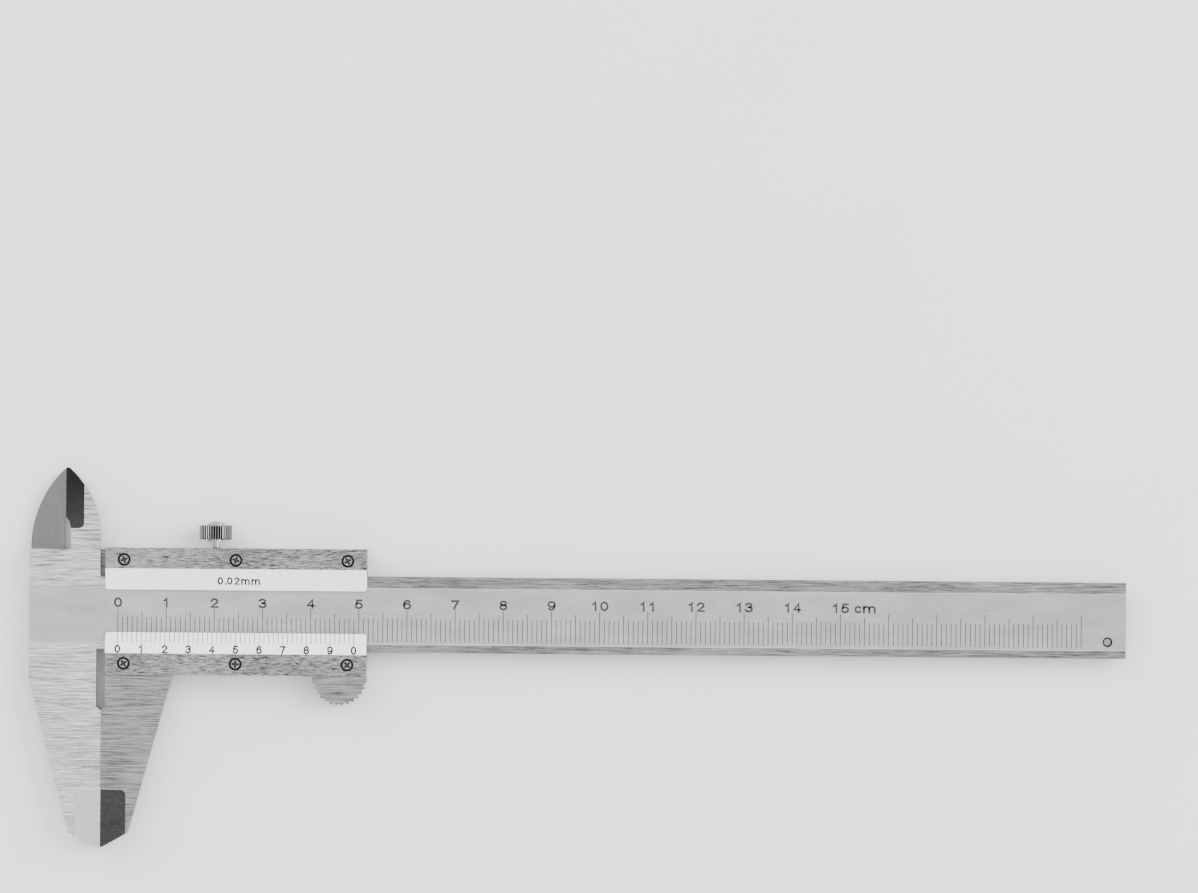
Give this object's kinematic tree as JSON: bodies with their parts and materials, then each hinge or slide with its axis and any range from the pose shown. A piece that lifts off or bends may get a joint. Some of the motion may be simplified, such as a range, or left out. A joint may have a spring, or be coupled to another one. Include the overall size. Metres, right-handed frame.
{
  "type": "vernier caliper",
  "caption": "Steel vernier caliper with outer and inner jaws, a sliding head with vernier plate, thumb pad and knurled lock screw, and a depth rod.",
  "frame": {"origin": "under the centre of the closed caliper's bounding box, on the plane of the slider's back face", "axes": "+X along the beam towards its free end, +Y towards the inner jaws, +Z out of the scale face"},
  "size_m": [0.2276, 0.0788, 0.0072],
  "materials": {
    "beam_steel": "ground and satin stainless steel",
    "slider_steel": "ground stainless steel with fine streaks",
    "plate_satin": "brushed strip and satin white bevel",
    "bright_nickel": "bright nickel plate",
    "screw_steel": "turned steel",
    "hidden_steel": "plain ground steel",
    "scale_ink": "dark filled engraving"
  },
  "bodies": {
    "beam": {"main_beam": "beam_steel", "stop_screw": "screw_steel"},
    "slider": {"slider_frame": "slider_steel", "upper_cover_plate": "plate_satin", "vernier_plate": "plate_satin", "gib_strip": "hidden_steel", "gib_set_screw_1": "screw_steel", "gib_set_screw_2": "screw_steel", "depth_rod": "hidden_steel", "depth_rod_rivet_1": "hidden_steel", "depth_rod_rivet_2": "hidden_steel", "upper_plate_screw_1": "screw_steel", "lower_plate_screw_1": "screw_steel", "upper_plate_screw_2": "screw_steel", "lower_plate_screw_2": "screw_steel", "upper_plate_screw_3": "screw_steel", "lower_plate_screw_3": "screw_steel"},
    "lock_screw": {"lock_screw": "bright_nickel"}
  },
  "joints": [
    {"name": "slider_slide", "type": "slide", "parent": "beam", "child": "slider", "axis": [1, 0, 0], "range_m": [0, 0.15]},
    {"name": "lock_screw_turn", "type": "hinge", "parent": "slider", "child": "lock_screw", "pos_m": [-0.0752, 0.02297, 0.0037], "axis": [0, 1, 0], "range_deg": [-45, 360]}
  ]
}
